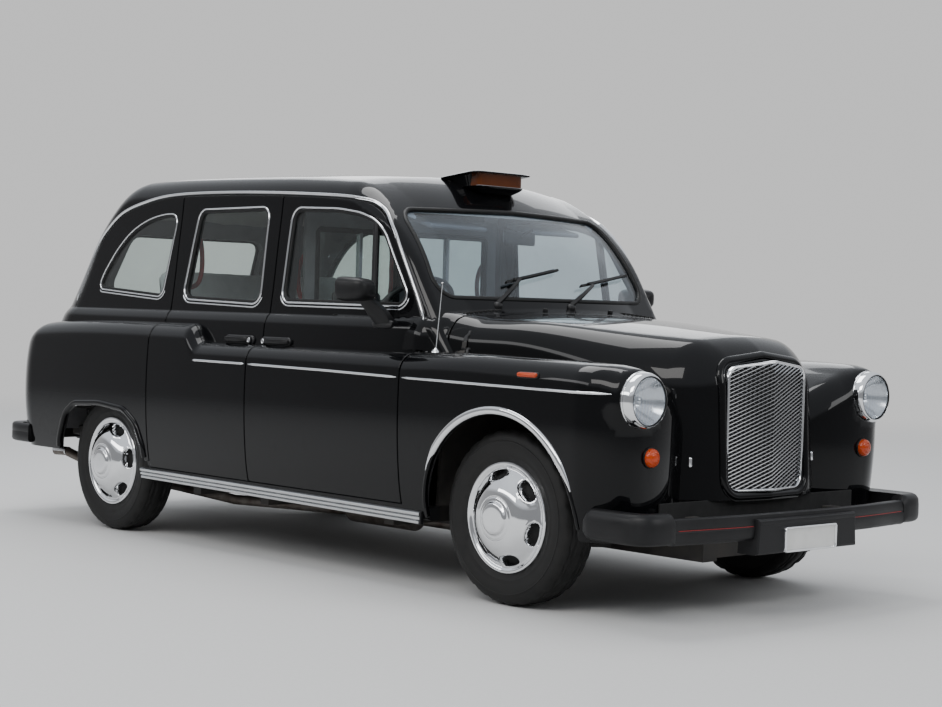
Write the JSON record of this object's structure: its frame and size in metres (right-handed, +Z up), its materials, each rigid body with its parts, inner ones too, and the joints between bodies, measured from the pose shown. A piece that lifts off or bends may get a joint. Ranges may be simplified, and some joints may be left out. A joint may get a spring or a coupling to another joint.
{
  "type": "taxi cab",
  "caption": "Full-size black four-door taxi cab with upright cabin, rear-hinged passenger doors, partition, rear bench, opening bonnet and boot lid, steered front wheels and blank roof sign.",
  "frame": {"origin": "on the ground under the middle of the overall length and width", "axes": "+X towards the front of the cab, +Y to its left side, +Z up"},
  "size_m": [4.58, 1.85, 1.768],
  "materials": {
    "black_paint": "gloss",
    "glass": "clear",
    "black_plastic": "satin",
    "bright_metal": "polished",
    "tyre_rubber": "matte",
    "underbody_metal": "satin",
    "seat_cover": "woven",
    "partition_board": "satin",
    "red_lens": "gloss"
  },
  "bodies": {
    "root": {"body_sides": "black_paint", "bulkhead": "underbody_metal", "chassis_rails": "underbody_metal", "cross_members": "underbody_metal", "dashboard": "black_plastic", "driveline": "underbody_metal", "driver_seat": "seat_cover", "engine_block": "underbody_metal", "exhaust": "underbody_metal", "floor_pan": "underbody_metal", "front_bumper": "black_plastic", "front_suspension": "underbody_metal", "front_wings": "black_paint", "fuel_tank": "underbody_metal", "headlamps": "bright_metal", "partition": "partition_board", "quarter_windows": "glass", "radiator": "underbody_metal", "rear_axle": "underbody_metal", "rear_bumper": "black_plastic", "rear_floor": "underbody_metal", "rear_seat": "seat_cover", "rear_window": "glass", "rear_wings": "black_paint", "roof_panel": "black_paint", "roof_sign": "black_plastic", "scuttle": "black_paint", "steering_column": "underbody_metal", "tail_lamps": "red_lens", "tail_panel": "black_paint", "tip_up_seats": "seat_cover", "windscreen": "glass"},
    "steering_wheel": {"steering_wheel": "black_plastic"},
    "knuckle_left": {"knuckle_left": "underbody_metal"},
    "knuckle_right": {"knuckle_right": "underbody_metal"},
    "wheel_front_left": {"wheel_front_left": "bright_metal", "tyre_front_left": "tyre_rubber"},
    "wheel_front_right": {"wheel_front_right": "bright_metal", "tyre_front_right": "tyre_rubber"},
    "wheel_rear_left": {"wheel_rear_left": "bright_metal", "tyre_rear_left": "tyre_rubber"},
    "wheel_rear_right": {"wheel_rear_right": "bright_metal", "tyre_rear_right": "tyre_rubber"},
    "front_door_left": {"front_door_left": "black_paint", "front_door_glass_left": "glass", "door_mirror_left": "black_plastic"},
    "front_door_right": {"front_door_right": "black_paint", "front_door_glass_right": "glass", "door_mirror_right": "black_plastic"},
    "rear_door_left": {"rear_door_left": "black_paint", "rear_door_glass_left": "glass"},
    "rear_door_right": {"rear_door_right": "black_paint", "rear_door_glass_right": "glass"},
    "bonnet": {"bonnet": "black_paint", "grille": "bright_metal"},
    "boot_lid": {"boot_lid": "black_paint"}
  },
  "joints": [
    {"name": "steer_left", "type": "hinge", "parent": "root", "child": "knuckle_left", "pos_m": [1.438, 0.64, 0.34], "axis": [0, 0, 1], "range_deg": [-45, 45]},
    {"name": "steer_right", "type": "hinge", "parent": "root", "child": "knuckle_right", "pos_m": [1.438, -0.64, 0.34], "axis": [0, 0, 1], "range_deg": [-45, 45]},
    {"name": "steering_wheel_turn", "type": "hinge", "parent": "root", "child": "steering_wheel", "pos_m": [0.47, -0.375, 1.02], "axis": [-0.788, 0, 0.6157], "range_deg": [-675, 675]},
    {"name": "spin_front_left", "type": "hinge", "parent": "knuckle_left", "child": "wheel_front_left", "pos_m": [1.438, 0.711, 0.34], "axis": [0, 1, 0], "continuous": true},
    {"name": "spin_front_right", "type": "hinge", "parent": "knuckle_right", "child": "wheel_front_right", "pos_m": [1.438, -0.711, 0.34], "axis": [0, 1, 0], "continuous": true},
    {"name": "spin_rear_left", "type": "hinge", "parent": "root", "child": "wheel_rear_left", "pos_m": [-1.372, 0.711, 0.34], "axis": [0, 1, 0], "continuous": true},
    {"name": "spin_rear_right", "type": "hinge", "parent": "root", "child": "wheel_rear_right", "pos_m": [-1.372, -0.711, 0.34], "axis": [0, 1, 0], "continuous": true},
    {"name": "front_door_left_hinge", "type": "hinge", "parent": "root", "child": "front_door_left", "pos_m": [0.883, 0.873, 0.7], "axis": [0, 0, -1], "range_deg": [0, 70]},
    {"name": "front_door_right_hinge", "type": "hinge", "parent": "root", "child": "front_door_right", "pos_m": [0.883, -0.873, 0.7], "axis": [0, 0, 1], "range_deg": [0, 70]},
    {"name": "rear_door_left_hinge", "type": "hinge", "parent": "root", "child": "rear_door_left", "pos_m": [-0.952, 0.873, 0.7], "axis": [0, 0, 1], "range_deg": [0, 90]},
    {"name": "rear_door_right_hinge", "type": "hinge", "parent": "root", "child": "rear_door_right", "pos_m": [-0.952, -0.873, 0.7], "axis": [0, 0, -1], "range_deg": [0, 90]},
    {"name": "bonnet_hinge", "type": "hinge", "parent": "root", "child": "bonnet", "pos_m": [1.05, 0, 1.136], "axis": [0, -1, 0], "range_deg": [0, 50]},
    {"name": "boot_lid_hinge", "type": "hinge", "parent": "root", "child": "boot_lid", "pos_m": [-2.16, 0, 1.062], "axis": [0, 1, 0], "range_deg": [0, 80]}
  ],
  "couplings": [
    {"joint": "steer_right", "follows": "steer_left", "ratio": 1},
    {"joint": "steering_wheel_turn", "follows": "steer_left", "ratio": 15}
  ]
}
